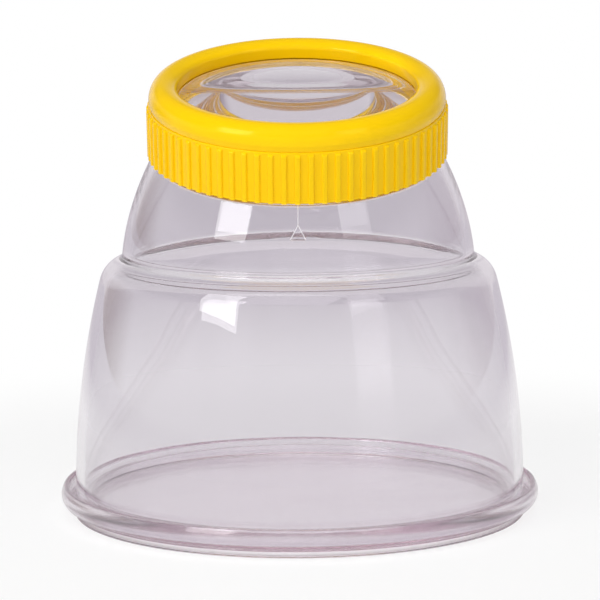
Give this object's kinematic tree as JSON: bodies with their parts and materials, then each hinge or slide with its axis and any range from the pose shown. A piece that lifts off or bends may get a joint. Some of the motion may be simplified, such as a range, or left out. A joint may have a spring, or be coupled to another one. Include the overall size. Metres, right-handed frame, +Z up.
{
  "type": "bug catcher jar",
  "caption": "Clear stepped viewing dome standing in a clear lipped tray, with a yellow ribbed screw cap that holds a magnifier lens on a neck tilted towards the viewer.",
  "frame": {"origin": "middle of the ring foot, on the surface that the tray stands on", "axes": "+Z up along the axis of the tray and the lower tier; -Y is the front, towards which the neck and the cap lean; +X to the right seen from the front"},
  "size_m": [0.11, 0.11, 0.1078],
  "materials": {
    "clear_polystyrene": "clear moulded polystyrene, polished mould, faint cool tint",
    "yellow_abs": "warm yellow moulded ABS, semi-gloss",
    "clear_acrylic": "clear moulded acrylic lens, polished"
  },
  "bodies": {
    "base": {"base_tray": "clear_polystyrene"},
    "jar": {"dome": "clear_polystyrene"},
    "lens": {"lens": "clear_acrylic"},
    "cap": {"screw_ring": "yellow_abs", "lens_bezel": "yellow_abs"}
  },
  "joints": [
    {"name": "dome_lift", "type": "slide", "parent": "base", "child": "jar", "axis": [0, 0, 1], "range_m": [0, 0.06]},
    {"name": "cap_rise", "type": "slide", "parent": "jar", "child": "lens", "axis": [0, -0.2689, 0.9632], "range_m": [0, 0.012]},
    {"name": "cap_turn", "type": "hinge", "parent": "lens", "child": "cap", "pos_m": [0, -0.00629, 0.08305], "axis": [0, -0.2689, 0.9632], "range_deg": [0, 360]}
  ],
  "couplings": [
    {"joint": "cap_rise", "follows": "cap_turn", "m_per_rad": 0.0019099}
  ]
}
